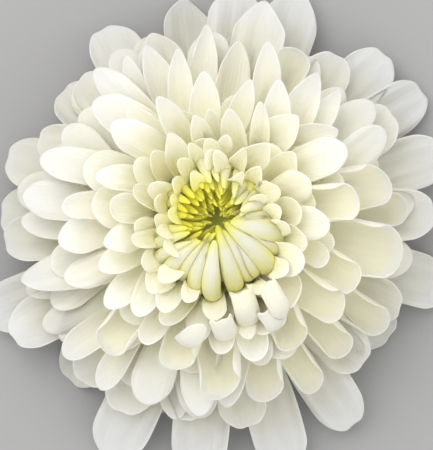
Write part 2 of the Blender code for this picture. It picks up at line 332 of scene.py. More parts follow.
class Midline:
    """The line down the middle of a blade, in the upright plane of the blade's azimuth."""

    STEPS = 40

    def __init__(self, root: Span, tip: Span, bends: tuple[Span, ...]) -> None:
        """Lays the line.

        Args:
            root: Its start, as (radius, height).
            tip: Its end, as (radius, height).
            bends: (share of the length, rise in degrees above the straight line to the tip).
        """
        places, pitches = [Vector((0.0, 0.0))], [math.radians(bends[0][1])]
        for step in range(1, self.STEPS + 1):
            pitch = math.radians(self.rise(bends, step / self.STEPS))
            middle = (pitch + pitches[-1]) / 2
            places.append(places[-1] + Vector((math.cos(middle), math.sin(middle))) / self.STEPS)
            pitches.append(pitch)
        reach = Vector(tip) - Vector(root)
        turn = math.atan2(reach.y, reach.x) - math.atan2(places[-1].y, places[-1].x)
        self.length = reach.length / places[-1].length
        spin = Matrix.Rotation(turn, 2)
        self.places = [Vector(root) + spin @ place * self.length for place in places]
        self.pitches = [pitch + turn for pitch in pitches]

    @staticmethod
    def rise(bends: tuple[Span, ...], u: float) -> float:
        """The rise at a place along the line, even between the places that are given.

        Args:
            bends: (share of the length, rise in degrees above the straight line to the tip).
            u: Share of the length.

        Returns:
            The rise in degrees.
        """
        for (start, first), (end, second) in zip(bends, bends[1:]):
            if u <= end:
                return mix((first, second), (u - start) / (end - start))
        return bends[-1][1]

    def at(self, u: float) -> tuple[float, float, float]:
        """Where the line is, at a place along it.

        Args:
            u: Share of the length.

        Returns:
            Radius, height, and pitch in radians.
        """
        k = min(int(u * self.STEPS), self.STEPS - 1)
        rest = u * self.STEPS - k
        place = self.places[k].lerp(self.places[k + 1], rest)
        return place.x, place.y, mix((self.pitches[k], self.pitches[k + 1]), rest)


@dataclass
class Blade:
    """One floret or bract: a sheet along a midline, curled across its width.

    Attributes:
        habit: How it is formed.
        azimuth: The way it points, seen from above.
        root: Where it starts, as (radius, height).
        tip: Where it ends, as (radius, height).
        half_width: Half its width where it is widest, measured over the curl.
        pivot: The place that its radii are measured from.
        roll: How far it is turned about its own length at the root.
        twist: How much further it is turned at the tip.
        sweep: How far its tip leans sideways.
        bow: How far its middle bows sideways.
        lean: How much more one of its sides curls than the other.
        cream_and_shade: How cream it is all over.
        luck: A number from 0 to 1 of its own, for its finish.
        filler: Whether it lies under the others and may be left out.
    """

    habit: Habit
    azimuth: float
    root: Span
    tip: Span
    half_width: float
    pivot: Vector = field(default_factory=lambda: Vector((0.0, 0.0, 0.0)))
    roll: float = 0.0
    twist: float = 0.0
    sweep: float = 0.0
    bow: float = 0.0
    lean: float = 0.0
    # cream_and_shade: How creamy it is all over, before its root, the heart and the painted shade
    # add more.
    cream_and_shade: float = 0.0
    luck: float = 0.5
    filler: bool = False

    KEEL_SOFTNESS = (0.02, 0.1414)
    PLEATS = 3
    WAVES = 1.4
    ROOT_CREAM = 0.9
    DEEP_CREAM, DEEP = 0.5, 0.014
    HEART_CREAM, HEART_END, HEART_FADE = 0.62, 0.031, 0.019
    YOLK_SIDE, YOLK_ENDS, YOLK_FADE = 150, (0.0085, 0.0150), 0.0075
    OLIVE_END, OLIVE_FADE = 0.0034, 0.0028
    DIMMEST = 0.94
    EDGE_DIMMING, DIM_START, DIM_SPAN = 0.27, 0.027, 0.023

    def __post_init__(self) -> None:
        """Lays its midline."""
        self.midline = Midline(self.root, self.tip, self.habit.bends)

    def lift(self, rise: float) -> None:
        """Moves its tip up."""
        self.tip = (self.tip[0], self.tip[1] + rise)
        self.midline = Midline(self.root, self.tip, self.habit.bends)

    def width_share(self, u: float) -> float:
        """Its width at a place along it: a narrow claw, a broad blade and a tip.

        Args:
            u: Share of its length, from its root.

        Returns:
            The width, as a share of its widest.
        """
        habit = self.habit
        broad = habit.claw + (1 - habit.claw) * smooth(u / 0.7)
        return broad - habit.taper * smooth((u - habit.shoulder) / (1 - habit.shoulder))

    def section(self, u: float, across: float) -> Span:
        """A point of its cross-section.

        Args:
            u: Share of the blade's length, from its root.
            across: -1 at one edge, 0 in the middle, 1 at the other edge.

        Returns:
            How far the point is to the side, and how far above the midline.
        """
        habit = self.habit
        half = self.half_width * self.width_share(u)
        x, y = habit.section(half, u, across, self.lean)
        softness, lowering = self.KEEL_SOFTNESS
        y += habit.keel * half * (math.sqrt(across * across + softness) - lowering)
        pleat = math.cos(math.pi * (self.PLEATS * across + 0.8 * self.luck))
        y += habit.fold * pleat * math.sin(math.pi * clamp(u * 1.05)) ** 0.5
        y -= habit.flare * smooth((abs(across) - 0.6) / 0.4) * smooth((u - 0.4) / 0.3)
        waving = math.sin(2 * math.pi * (self.WAVES * u + self.luck))
        y += habit.wave * across * waving * smooth(u / 0.5)
        turn = math.radians(self.roll + self.twist * u)
        side = x * math.cos(turn) - y * math.sin(turn) + self.sweep * u * u
        side += self.bow * math.sin(math.pi * u)
        return side, x * math.sin(turn) + y * math.cos(turn)

    def point(self, u: float, across: float) -> Vector:
        """The place of a point of the sheet.

        Args:
            u: Share of the blade's length, from its root.
            across: -1 at one edge, 0 in the middle, 1 at the other edge.

        Returns:
            The place, with the flower's axis as its origin.
        """
        u *= 1 - self.habit.tip.shortening(across)
        radius, height, pitch = self.midline.at(u)
        x, y = self.section(u, across)
        around = math.radians(self.azimuth)
        out = Vector((math.cos(around), math.sin(around), 0))
        side = Vector((-math.sin(around), math.cos(around), 0))
        place = self.pivot + out * (radius - y * math.sin(pitch)) + side * x
        place.z = height + y * math.cos(pitch)
        return place

    def tints(self, u: float, across: float, place: Vector) -> dict[str, float]:
        """What its finish has to know of a point of the sheet.

        Args:
            u: Share of the blade's length, from its root.
            across: -1 at one edge, 0 in the middle, 1 at the other edge.
            place: The point's place.

        Returns:
            The value of each of the sheet's attributes.
        """
        depth = dome_height(math.hypot(place.x, place.y)) - place.z
        # Painted shade in the hollow of a cup, strongest down its middle and gone at the tip; the
        # seam is the real creamy yellow along a finger's edges.
        inside = self.habit.painted_cup_shade * (1 - across * across) ** 1.5 * (1 - smooth((u - 0.8) / 0.2))
        inside += self.habit.seam * across * across
        # This mask holds the real creamy colour of the root and the heart, and painted shade in
        # hollows and deep in the head.
        cream_and_shade = self.cream_and_shade + self.ROOT_CREAM * (1 - smooth((u - 0.2) / 0.68)) + inside
        # Painted shade: the sheet turns creamy yellow the deeper it lies under the dome of tips.
        cream_and_shade += self.DEEP_CREAM * smooth(depth / self.DEEP)
        away = (Vector((place.x, place.y, 0.0)) - EYE).length
        if not self.habit.seam:
            cream_and_shade += self.HEART_CREAM * smooth((self.HEART_END - away) / self.HEART_FADE)
        toward = sector(math.degrees(math.atan2(place.y, place.x)), self.YOLK_SIDE, 95)
        # The outer florets are darkened: partly the duller skin of older florets, partly painted
        # shade on the low fringe, farther from the lamps.
        dulling_and_shade = self.EDGE_DIMMING * smooth((away - self.DIM_START) / self.DIM_SPAN)
        return {
            "across": across,
            "along": u,
            "edge": max(abs(across), u),
            "cream_and_shade": clamp(cream_and_shade),
            "yolk": smooth((mix(self.YOLK_ENDS, toward) - away) / self.YOLK_FADE),
            "olive": smooth((self.OLIVE_END - away) / self.OLIVE_FADE),
            "tone": mix((self.DIMMEST, 1.0), self.luck) * (1 - dulling_and_shade),
        }


@dataclass(frozen=True)
class Settling:
    """Lifts and lowers blades until those that overlap lie over each other, and don't cut.

    Attributes:
        passes: How often it goes over them all.
        cell: The size of the squares, seen from above, in which blades are compared.
        clearance: The least height between two blades.
        step: The most that a blade is moved in one pass.
        most: The most that a blade is moved in all.
        cut: How deep a filler may still cut into another blade.
    """

    passes: int = 12
    cell: float = 0.0013
    clearance: float = 0.0003
    step: float = 0.0008
    most: float = 0.0045
    cut: float = 0.0005

    ALONG = tuple(0.44 + 0.05 * k for k in range(12))  # the half of each blade that can be seen
    ACROSS = (-0.97, -0.75, -0.5, -0.25, 0.0, 0.25, 0.5, 0.75, 0.97)

    def gaps(self, blades: list[Blade]) -> dict[tuple[int, int], list[float]]:
        """How far blades are above each other.

        Args:
            blades: The blades, from the outermost in.

        Returns:
            For two blades that overlap, the inner one's heights over the outer one.
        """
        cells: dict[tuple[int, int], dict[int, float]] = {}
        for number, blade in enumerate(blades):
            for u in self.ALONG:
                for across in self.ACROSS:
                    place = blade.point(u, across)
                    key = (round(place.x / self.cell), round(place.y / self.cell))
                    cells.setdefault(key, {})[number] = place.z
        gaps: dict[tuple[int, int], list[float]] = {}
        for covered in cells.values():
            for first, second in combinations(sorted(covered), 2):
                gaps.setdefault((first, second), []).append(covered[second] - covered[first])
        return gaps

    def settle(self, blades: list[Blade]) -> list[Blade]:
        """Moves the tips of the blades up or down, where they cross.

        Args:
            blades: The blades, from the outermost in.

        Returns:
            The same blades, without the fillers that still cut into another blade.
        """
        moved = [0.0] * len(blades)
        for _ in range(self.passes):
            pushes = [0.0] * len(blades)
            for (outer, inner), gap in self.gaps(blades).items():
                if min(gap) > self.clearance or max(gap) < -self.clearance:
                    continue
                side = 1 if sum(gap) / len(gap) > -self.clearance else -1
                short = max(self.clearance - min(side * value for value in gap), 0.0)
                pushes[inner] += side * min(short, 2 * self.clearance) / 2
                pushes[outer] -= side * min(short, 2 * self.clearance) / 2
            for number, push in enumerate(pushes):
                push = min(max(push, -self.step), self.step)
                rise = min(max(moved[number] + push, -self.most), self.most) - moved[number]
                moved[number] += rise
                blades[number].lift(rise)
        cutting = set()
        for pair, gap in self.gaps(blades).items():
            if min(-min(gap), max(gap)) > self.cut:
                cutting.update(number for number in pair if blades[number].filler)
        return [blade for number, blade in enumerate(blades) if number not in cutting]


class Skin:
    """A material, with the nodes that its finish is mixed from."""

    def __init__(self, name: str) -> None:
        """Starts it from a plain shader.

        Args:
            name: The material's name.
        """
        self.made = bpy.data.materials.new(name)
        self.made.use_nodes = True
        self.tree = self.made.node_tree
        self.shader = self.tree.nodes["Principled BSDF"]

    def feed(self, node: Node, inputs: Feed) -> None:
        """Links or sets inputs of a node.

        Args:
            node: The node.
            inputs: For each input's name or place, another node's output, a number or a colour.
        """
        for name, value in inputs.items():
            if isinstance(value, Socket):
                self.tree.links.new(value, node.inputs[name])
            else:
                node.inputs[name].default_value = value

    def node(self, kind: str, inputs: Feed, **settings: str) -> Node:
        """Adds a node.

        Args:
            kind: Its type, without the words that every shader node's type starts with.
            inputs: What it is fed.
            settings: Its own settings.

        Returns:
            The node.
        """
        made = self.tree.nodes.new("ShaderNode" + kind)
        for name, value in settings.items():
            setattr(made, name, value)
        self.feed(made, inputs)
        return made

    def attribute(self, name: str) -> Socket:
        """The value of a mesh's attribute."""
        return self.node("Attribute", {}, attribute_name=name).outputs["Fac"]

    def mixed(self, share: Socket, first: Socket | tuple, second: tuple) -> Socket:
        """A mix of two colours, all the second where share is 1."""
        inputs = {"Factor": share, "A": first, "B": second}
        return self.node("Mix", inputs, data_type="RGBA").outputs["Result"]

    def tinted(self, colour: Socket, tone: Socket) -> Socket:
        """A colour multiplied by a tone."""
        made = self.node("VectorMath", {0: colour, "Scale": tone}, operation="SCALE")
        return made.outputs["Vector"]

    def scaled(self, value: Socket, low: float, high: float) -> Socket:
        """A value from 0 to 1, stretched to run from low to high."""
        made = self.node("MapRange", {"Value": value, "To Min": low, "To Max": high})
        return made.outputs["Result"]

    def counted(self, operation: str, first: Socket, second: Socket | float) -> Socket:
        """The result of a sum with two values."""
        return self.node("Math", {0: first, 1: second}, operation=operation).outputs[0]

    def mottle(self, scale: float, detail: float) -> Socket:
        """A soft mottle fixed to the object."""
        inputs = {"Vector": self.node("TexCoord", {}).outputs["Object"], "Scale": scale}
        return self.node("TexNoise", {**inputs, "Detail": detail}).outputs["Fac"]

    def relief(self, height: Socket, strength: float, distance: float) -> None:
        """Gives the surface a fine relief."""
        bump = self.node("Bump", {"Height": height, "Strength": strength, "Distance": distance})
        self.feed(self.shader, {"Normal": bump.outputs["Normal"]})


@dataclass(frozen=True)
class PetalFinish:
    """The skin of a floret: thin and soft, veined, creamy at the root and yellow round the eye, with
    creamy painted shade inside cups and deep in the head.

    Attributes:
        name: The material's name.
        white: The colour of a blade in the open.
        cream_and_shade: The colour near the root and round the heart, also used as painted shade
            inside a cup and deep in the head.
        yolk: The colour round the eye.
        olive: The colour of the eye.
        glow: How much light passes under the skin.
        glow_depth: How far it passes.
        glow_colours: How far each of its colours passes, as a share of that.
        veins: The waves of its veins from its middle to its edge, in radians.
        wander: How far the veins wander sideways, as a share of half its width.
        wander_turns: The waves of that wandering from its root to its tip, in radians.
    """

    name: str
    white: Colour
    cream_and_shade: Colour
    yolk: Colour
    olive: Colour = (0.54, 0.55, 0.06)
    glow: float = 0.65
    glow_depth: float = 0.0024
    glow_colours: Colour = (1.0, 0.97, 0.88)
    veins: float = 30.0
    wander: float = 0.02
    wander_turns: float = 9.0

    def vein_heights(self, skin: Skin) -> Socket:
        """The veins that run down a floret.

        Args:
            skin: The material.

        Returns:
            Their heights, from 0 to 1.
        """
        turns = skin.counted("MULTIPLY", skin.attribute("along"), self.wander_turns)
        aside = skin.counted("MULTIPLY", skin.counted("SINE", turns, 0.0), self.wander)
        shifted = skin.counted("ADD", skin.attribute("across"), aside)
        lines = skin.counted("SINE", skin.counted("MULTIPLY", shifted, self.veins), 0.0)
        return skin.node("MapRange", {"Value": lines, "From Min": -1.0}).outputs["Result"]

    def material(self) -> Material:
        """Builds the material.

        Returns:
            The material.
        """
        skin = Skin(self.name)
        mottle = skin.mottle(900, 3)
        colour = (*self.white, 1.0)
        for name in ("cream_and_shade", "yolk", "olive"):
            colour = skin.mixed(skin.attribute(name), colour, (*getattr(self, name), 1.0))
        # The tone carries each blade's own tone, and on the outer florets their duller skin and
        # painted shade.
        colour = skin.tinted(colour, skin.attribute("tone"))
        grain = skin.scaled(mottle, 0.0, 0.35)
        skin.relief(skin.counted("ADD", self.vein_heights(skin), grain), 0.3, 0.0001)
        skin.feed(skin.shader, {
            "Base Color": skin.tinted(colour, skin.scaled(mottle, 0.96, 1.0)),
            "Roughness": skin.scaled(mottle, 0.42, 0.6),
            "Subsurface Weight": self.glow,
            "Subsurface Radius": self.glow_colours,
            "Subsurface Scale": self.glow_depth,
            "Specular IOR Level": 0.3,
            "Sheen Weight": 0.06,
        })
        return skin.made


@dataclass(frozen=True)
class GreenFinish:
    """The skin of a bract, the flower's base or the stem: mottled green with a paler margin.

    Attributes:
        name: The material's name.
        body: The colour of the green part.
        margin: The colour at the edges and tip.
        fade: Between which shares of the way to the edge the one turns into the other.
    """

    name: str
    body: Colour
    margin: Colour
    fade: Span = (0.62, 0.95)

    def material(self) -> Material:
        """Builds the material.

        Returns:
            The material.
        """
        skin = Skin(self.name)
        start, end = self.fade
        inputs = {"Value": skin.attribute("edge"), "From Min": start, "From Max": end}
        fade = skin.node("MapRange", inputs, interpolation_type="SMOOTHSTEP").outputs["Result"]
        colour = skin.mixed(fade, (*self.body, 1.0), (*self.margin, 1.0))
        mottle = skin.mottle(700, 4)
        skin.relief(mottle, 0.4, 0.00015)
        skin.feed(skin.shader, {
            "Base Color": skin.tinted(colour, skin.scaled(mottle, 0.72, 1.12)),
            "Roughness": skin.scaled(mottle, 0.5, 0.7),
            "Subsurface Weight": 0.12,
            "Subsurface Scale": 0.001,
            "Sheen Weight": 0.15,
        })
        return skin.made


@dataclass
class BladeSheet:
    """A piece made of blades: thin sheets, given their thickness and rounded together.

    Attributes:
        name: The piece's name.
        stands_for: The CAD node that it replaces.
        slot: The record's material slot, which is not used.
        thickness: The thickness of a blade.
        columns: Faces across a blade before it is rounded.
        rows: Faces along a blade before it is rounded.
        axis: The flower's axis on the surface.
    """

    name: str
    stands_for: str
    slot: str
    thickness: float
    columns: int
    rows: int
    axis: Vector

    LAYERS = ("across", "along", "edge", "cream_and_shade", "yolk", "olive", "tone")

    def build(self, blades: list[Blade], finish: Material) -> bpy.types.Object:
        """Makes the piece.

        Args:
            blades: The blades that it is made of.
            finish: Its material.

        Returns:
            The finished piece, riding on the root body.
        """
        bm = bmesh.new()
        layers = {key: bm.verts.layers.float.new(key) for key in self.LAYERS}
        for blade in blades:
            self.grow(bm, blade, layers)
        piece = finished(bm, self.name, finish)
        wall = piece.modifiers.new("wall", "SOLIDIFY")
        wall.thickness = self.thickness
        wall.offset = 0.0
        rounding = piece.modifiers.new("rounding", "SUBSURF")
        rounding.levels = 1
        rounding.render_levels = 1
        return settle(piece, self.stands_for)

    def grow(self, bm: bmesh.types.BMesh, blade: Blade, layers: dict) -> None:
        """Adds one blade's sheet to the mesh.

        Args:
            bm: The mesh.
            blade: The blade.
            layers: The mesh's attributes, by name.
        """
        grid = bmesh.ops.create_grid(bm, x_segments=self.columns, y_segments=self.rows, size=1.0)
        floor = self.thickness * 0.6
        for vert in grid["verts"]:
            across = math.sin(vert.co.x * math.pi / 2)
            u = 1 - (1 - (vert.co.y + 1) / 2) ** 1.35
            place = blade.point(u, across)
            for key, value in blade.tints(u, across, place).items():
                vert[layers[key]] = value
            vert.co = place + self.axis
            vert.co.z = max(vert.co.z, floor)


def finished(bm: bmesh.types.BMesh, name: str, finish: Material) -> bpy.types.Object:
    """Turns a mesh that has been built up into an object of the scene.

    Args:
        bm: The mesh, which is freed.
        name: The object's name.
        finish: Its material.

    Returns:
        The object.
    """
    mesh = bpy.data.meshes.new(name)
    bm.to_mesh(mesh)
    bm.free()
    mesh.materials.append(finish)
    mesh.shade_smooth()
    piece = bpy.data.objects.new(name, mesh)
    bpy.context.scene.collection.objects.link(piece)
    return piece


def settle(piece: bpy.types.Object, stands_for: str) -> bpy.types.Object:
    """Makes a finished piece ride on the root body, in place of a CAD node.

    Args:
        piece: The piece.
        stands_for: The CAD node that it replaces.

    Returns:
        The same piece.
    """
    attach(piece, "root")
    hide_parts(stands_for)
    LOG.info("%s: %d faces before rounding", piece.name, len(piece.data.polygons))
    return piece


@dataclass
class RayFlorets:
    """The white ray florets: a fringe round the edge, and a dome of them up to the heart.

    The fringe is (azimuth, reach, height of the tip), and the placed florets of the dome are
    (azimuth, reach, width) for each kind. Florets drawn at random and kept apart fill the dome
    between the placed ones. A side is the (middle, spread) of a sector of the head.
    """

    axis: Vector
    fringe: tuple[Row, ...] = (
        (18, 0.0570, 0.0050), (33, 0.0590, 0.0035), (46, 0.0575, 0.0060), (70, 0.0600, 0.0040),
        (84, 0.0580, 0.0070), (98, 0.0555, 0.0004), (120, 0.0545, 0.0050), (139, 0.0490, 0.0040),
        (162, 0.0525, 0.0060), (177, 0.0515, 0.0045), (201, 0.0585, 0.0040),
        (225, 0.0510, 0.0004), (246, 0.0605, 0.0050), (266, 0.0590, 0.0060),
        (287, 0.0600, 0.0040), (305, 0.0575, 0.0065), (326, 0.0490, 0.0045),
        (345, 0.0570, 0.0004), (3, 0.0515, 0.0125), (31, 0.0490, 0.0135), (54, 0.0490, 0.0150),
        (77, 0.0540, 0.0130), (110, 0.0475, 0.0140), (132, 0.0470, 0.0150),
        (153, 0.0465, 0.0140), (185, 0.0500, 0.0130), (208, 0.0550, 0.0110),
        (230, 0.0485, 0.0140), (243, 0.0495, 0.0130), (259, 0.0465, 0.0150),
        (279, 0.0480, 0.0140), (317, 0.0475, 0.0140), (334, 0.0475, 0.0135),
    )
    low_tip: float = 0.0100
    fringe_root_radius: float = 0.0115
    fringe_root_heights: Span = (0.0118, 0.0128)
    fringe_half_widths: Span = (0.0068, 0.0066)
    placed: tuple[tuple[Kind, tuple[Row, ...]], ...] = (
        (Kind.LANCE, (
            (92, 0.0464, 0.0080), (85, 0.0430, 0.0080), (79, 0.0329, 0.0065),
            (68, 0.0286, 0.0055), (64, 0.0355, 0.0065), (48, 0.0418, 0.0060),
            (116, 0.0304, 0.0060), (94, 0.0249, 0.0060),
        )),
        (Kind.CUP, (
            (64, 0.0446, 0.0085), (17, 0.0404, 0.0105), (11, 0.0321, 0.0090),
            (351, 0.0429, 0.0125), (325, 0.0347, 0.0090), (304, 0.0336, 0.0085),
            (287, 0.0423, 0.0095), (275, 0.0393, 0.0095), (229, 0.0386, 0.0085),
            (253, 0.0341, 0.0085), (318, 0.0245, 0.0080),
        )),
        (Kind.PAD, (
            (213, 0.0469, 0.0090), (263, 0.0444, 0.0080), (271, 0.0417, 0.0070),
            (217, 0.0314, 0.0080), (188, 0.0358, 0.0090), (201, 0.0367, 0.0090),
            (138, 0.0317, 0.0070), (157, 0.0289, 0.0070), (136, 0.0390, 0.0090),
            (161, 0.0426, 0.0100), (149, 0.0414, 0.0090), (222, 0.0215, 0.0065),
            (283, 0.0198, 0.0050), (322, 0.0196, 0.0054),
        )),
        (Kind.TOOTHED, (
            (289, 0.0162, 0.0048), (310, 0.0170, 0.0048), (276, 0.0213, 0.0050),
            (300, 0.0222, 0.0052),
        )),
        (Kind.SPOON, (
            (350, 0.0200, 0.0072), (332, 0.0215, 0.0070), (10, 0.0185, 0.0066),
            (267, 0.0222, 0.0050), (299, 0.0190, 0.0044), (288, 0.0228, 0.0050),
        )),
        (Kind.HOOD, ((258, 0.0225, 0.0056),)),
    )
    fill_tries: int = 5000
    fill_reach: Span = (0.0085, 0.0468)
    spacing: Span = (0.0034, 0.0064)
    broad_spacing: Span = (0.0037, 0.0078)
    finer: float = 0.16
    stretch: float = 0.62
    opens: float = 0.0220
    stands: float = 0.0125
    rise: float = 0.0016
    overlap: Span = (1.25, 1.34)
    hollow_overlap: float = 1.08
    under_tries: int = 2500
    under_reach: Span = (0.0150, 0.0475)
    under_spacing: Span = (0.0052, 0.0078)
    under_overlap: float = 1.2
    under_gap: float = 0.0040
    under_drop: float = 0.0080
    cup_drop: float = 0.0022
    root_radius: Span = (0.0110, 0.0122)
    root_height: Span = (0.0135, 0.0270)
    hood_root: Span = (0.0185, 0.0270)
    climb_start: float = 0.0475
    climb_span: float = 0.0305
    slew: Span = (8, 17)
    pointed_side: Span = (80, 45)
    lance_side: Span = (80, 50)
    cup_side: Span = (-45, 60)
    broad_side: Span = (-40, 75)
    finer_side: Span = (125, 60)
    thickness: float = 0.00026

    def fringe_blades(self) -> list[Blade]:
        """The broad florets round the edge of the head.

        Returns:
            The florets.
        """
        draw = random.Random(SEED + 2)
        blades = []
        for azimuth, reach, tip_height in self.fringe:
            ring = 0 if tip_height < self.low_tip else 1
            habit = (Kind.STRAP, Kind.SCOOP)[ring].value.varied(draw, 0.6)
            if sector(azimuth, *self.pointed_side) > draw.uniform(0.3, 0.9):
                habit = replace(habit, tip=Tip.POINTED, keel=0.2)
            blades.append(
                Blade(
                    habit=habit,
                    azimuth=azimuth,
                    root=(self.fringe_root_radius, self.fringe_root_heights[ring]),
                    tip=(reach, tip_height),
                    half_width=self.fringe_half_widths[ring] * draw.uniform(0.95, 1.05),
                    roll=draw.uniform(1, 6),
                    twist=draw.uniform(-6, 10),
                    sweep=draw.uniform(-0.001, 0.001),
                    luck=draw.random(),
                )
            )
        return blades

    def placed_rows(self) -> list[tuple[float, float, float, Kind]]:
        """The placed florets, as (azimuth, reach, width, kind)."""
        return [(*row, kind) for kind, rows in self.placed for row in rows]

    def filling(self) -> list[tuple[float, float, float, Kind]]:
        """Draws the florets that fill the dome between the placed ones.

        Returns:
            (azimuth, reach, width, kind) of each.
        """
        draw = random.Random(SEED)
        rows = []
        taken = [
            (self.spot(azimuth, reach), width / self.overlap[1])
            for azimuth, reach, width, _ in self.placed_rows()
        ]
        for _ in range(self.fill_tries):
            reach = mix(self.fill_reach, math.sqrt(draw.random()))
            azimuth = draw.uniform(0, 360)
            chance = draw.random()
            spot = self.spot(azimuth, reach)
            beyond = beyond_heart(spot)
            broad = sector(azimuth, *self.broad_side)
            if beyond < 0:
                continue
            opened = smooth(beyond / self.opens)
            spacing = mix((mix(self.spacing, opened), mix(self.broad_spacing, opened)), broad)
            spacing *= 1 - self.finer * sector(azimuth, *self.finer_side)
            stretch = mix((1.0, self.stretch), opened)
            if any(apart(spot, other, stretch) < (spacing + size) / 2 for other, size in taken):
                continue
            taken.append((spot, spacing))
            kind = Kind.SPOON if chance < 0.4 else Kind.PAD
            if sector(azimuth, *self.lance_side) > 0.25 + 0.5 * chance:
                kind = Kind.LANCE
            elif sector(azimuth, *self.cup_side) > 0.25 + 0.6 * chance and beyond > self.stands:
                kind = Kind.CUP
            overlap = mix(self.overlap, opened)
            if kind in (Kind.CUP, Kind.SPOON):
                overlap = mix((overlap, self.hollow_overlap), opened)
            rows.append((azimuth, reach, spacing * overlap, kind))
        return rows

    def underlayer(self) -> list[tuple[float, float, float, Kind]]:
        """Draws the florets that lie just under the dome and show only in its gaps.

        Returns:
            (azimuth, reach, width, kind) of each.
        """
        draw = random.Random(SEED + 6)
        rows = []
        taken: list[Vector] = []
        for _ in range(self.under_tries):
            reach = mix(self.under_reach, math.sqrt(draw.random()))
            azimuth = draw.uniform(0, 360)
            spot = self.spot(azimuth, reach)
            beyond = beyond_heart(spot)
            clear = mix(self.under_spacing, smooth(beyond / self.opens))
            if beyond < self.under_gap or any((spot - other).length < clear for other in taken):
                continue
            taken.append(spot)
            rows.append((azimuth, reach, clear * self.under_overlap, Kind.PAD))
        return rows

    @staticmethod
    def spot(azimuth: float, reach: float) -> Vector:
        """The place of a tip, from its azimuth and reach, seen from above."""
        around = math.radians(azimuth)
        return Vector((math.cos(around), math.sin(around), 0.0)) * reach

    def dome_blade(self, draw: random.Random, row: tuple[float, float, float, Kind, float]) -> Blade:
        """One floret of the dome.

        Args:
            draw: Where its chances come from.
            row: The azimuth and reach of its tip, its width and kind, and how far under the dome
                it lies.

        Returns:
            The floret.
        """
        azimuth, reach, width, kind, drop = row
        spot = self.spot(azimuth, reach)
        upright = 1 - smooth(beyond_heart(spot) / self.stands)
        habit = kind.value
        if kind in (Kind.PAD, Kind.SPOON, Kind.LANCE):
            habit = habit.toward(Kind.BUD.value, upright)
        outward = spot - HEART_MIDDLE * upright
        slew = self.slew[0] if kind in (Kind.CUP, Kind.SPOON) else self.slew[1]
        heading = math.degrees(math.atan2(outward.y, outward.x)) + draw.uniform(-slew, slew)
        share = max(clamp((self.climb_start - reach) / self.climb_span), upright)
        root = (mix(self.root_radius, share), mix(self.root_height, share))
        if kind in (Kind.HOOD, Kind.TOOTHED):
            root = self.hood_root
        habit = habit.varied(draw, 0.55 if kind is Kind.CUP else 1.0)
        top = dome_height(reach) + self.rise * upright - drop
        return Blade(
            habit=habit,
            azimuth=heading,
            root=(root[0], root[1] - drop / 2),
            tip=(outward.length, top + draw.uniform(-0.0020, 0.0010)),
            pivot=spot - self.spot(heading, outward.length),
            half_width=habit.half_width(width * draw.uniform(0.84, 1.14)),
            roll=draw.uniform(2, 17),
            twist=draw.uniform(-8, 11),
            sweep=draw.uniform(-0.0017, 0.0017),
            lean=draw.uniform(-0.25, 0.25) * (0.3 if kind is Kind.CUP else 1.0),
            cream_and_shade=0.35 * smooth(share),
            luck=draw.random(),
            filler=drop == self.under_drop,
        )

    def dome_blades(self) -> list[Blade]:
        """The florets of the dome, from the fringe in to the heart.

        Returns:
            The florets.
        """
        draw = random.Random(SEED + 3)
        rows = [(*row, 0.0) for row in self.placed_rows()]
        rows += [(*row, self.cup_drop if row[3] is Kind.CUP else 0.0) for row in self.filling()]
        rows += [(*row, self.under_drop) for row in self.underlayer()]
        rows.sort(key=lambda row: (-row[1], row[0]))
        return [self.dome_blade(draw, row) for row in rows]

    def build(self, finish: Material) -> None:
        """Makes the rings of florets as pieces.

        Args:
            finish: Their material.
        """
        dome = Settling().settle(self.dome_blades())
        third = len(dome) // 3
        rings = (
            ("fringe_florets", self.fringe_blades(), 12, 13),
            ("outer_florets", dome[:third], 8, 11),
            ("middle_florets", dome[third : 2 * third], 8, 11),
            ("inner_florets", dome[2 * third :], 8, 11),
        )
        for name, blades, columns, rows in rings:
            LOG.info("%s: %d florets", name, len(blades))
            sheet = (name, "ray_florets", "white_floret", self.thickness, columns, rows, self.axis)
            BladeSheet(*sheet).build(blades, finish)


